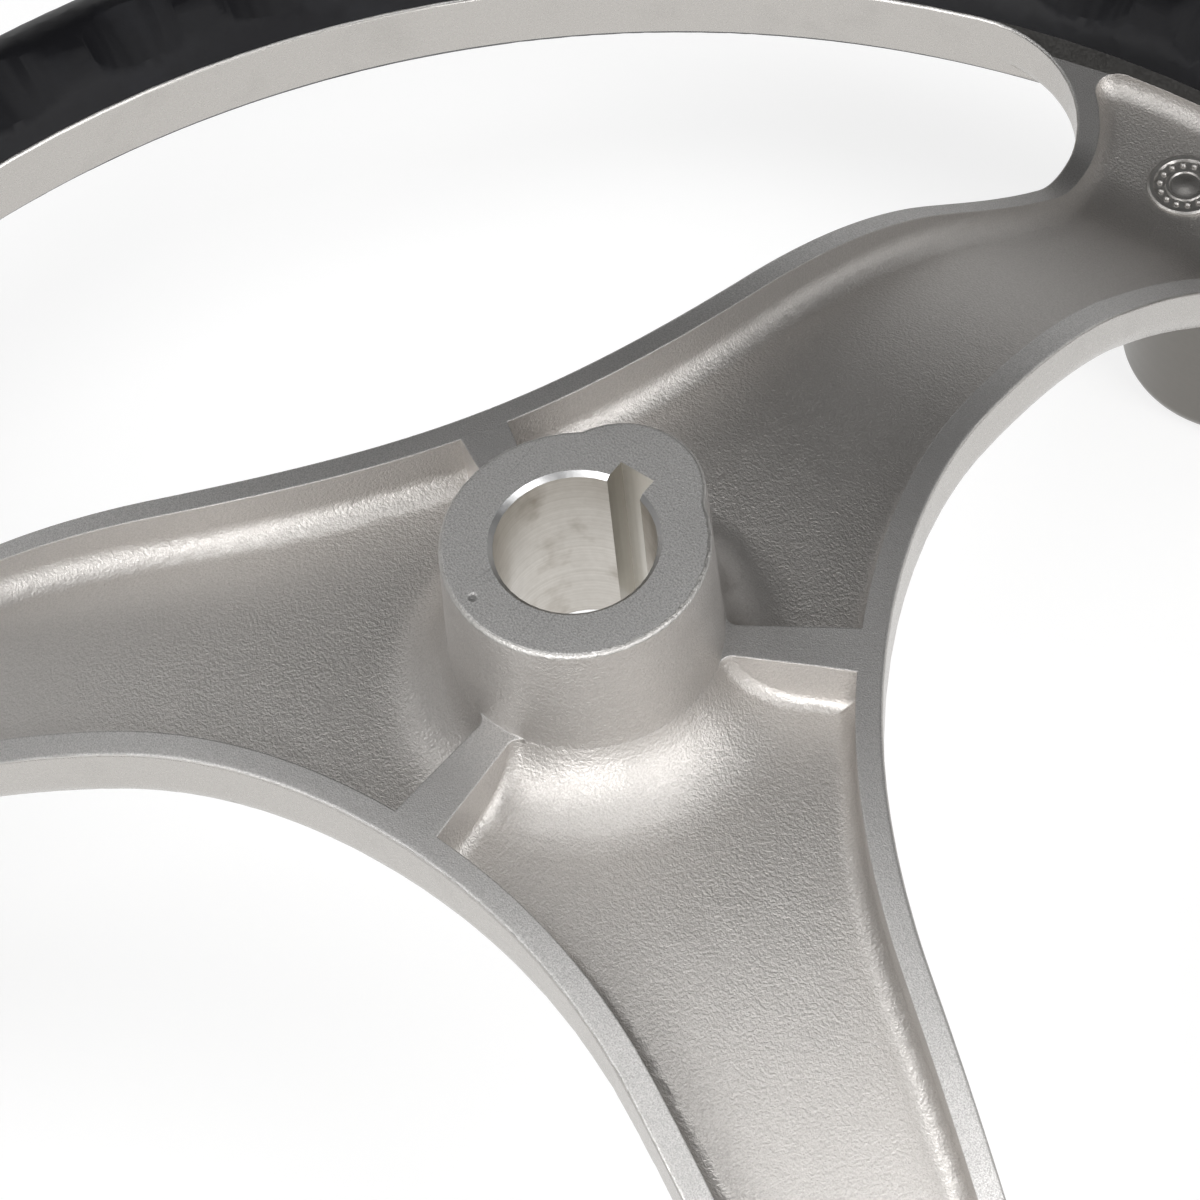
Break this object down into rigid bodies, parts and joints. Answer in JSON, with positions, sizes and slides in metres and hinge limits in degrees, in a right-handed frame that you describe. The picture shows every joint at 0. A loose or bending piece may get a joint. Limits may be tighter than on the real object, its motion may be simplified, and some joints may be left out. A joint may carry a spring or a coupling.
{
  "type": "boat steering wheel",
  "caption": "Dished three-spoke cast boat steering wheel with a keyed shaft boss, ribbed channels in its back, a finger-gripped rim and a spinning knob.",
  "frame": {"origin": "on the shaft axis, in the plane of the boss's rear face", "axes": "+Z points out of the wheel's back, along the shaft; +Y points along the keyed spoke, which carries the knob on its front; the wheel is dished towards -Z"},
  "size_m": [0.3402, 0.3402, 0.1262],
  "materials": {
    "cast_steel": "bead-blasted cast stainless with polished sides",
    "turned_steel": "turned stainless",
    "knob_steel": "satin stainless",
    "grip": "moulded, soft sheen",
    "bearing_plastic": "natural bearing plastic"
  },
  "bodies": {
    "wheel": {"wheel_casting": "cast_steel", "rim_grip": "grip", "shoulder_screw": "turned_steel", "thrust_washer": "bearing_plastic", "head_washer": "turned_steel"},
    "knob": {"knob_body": "knob_steel", "rear_bush": "bearing_plastic", "front_bush": "bearing_plastic", "knob_cap": "knob_steel"}
  },
  "joints": [
    {"name": "knob_spin", "type": "hinge", "parent": "wheel", "child": "knob", "pos_m": [0, 0.149, -0.11], "axis": [0, 0, 1], "continuous": true}
  ]
}
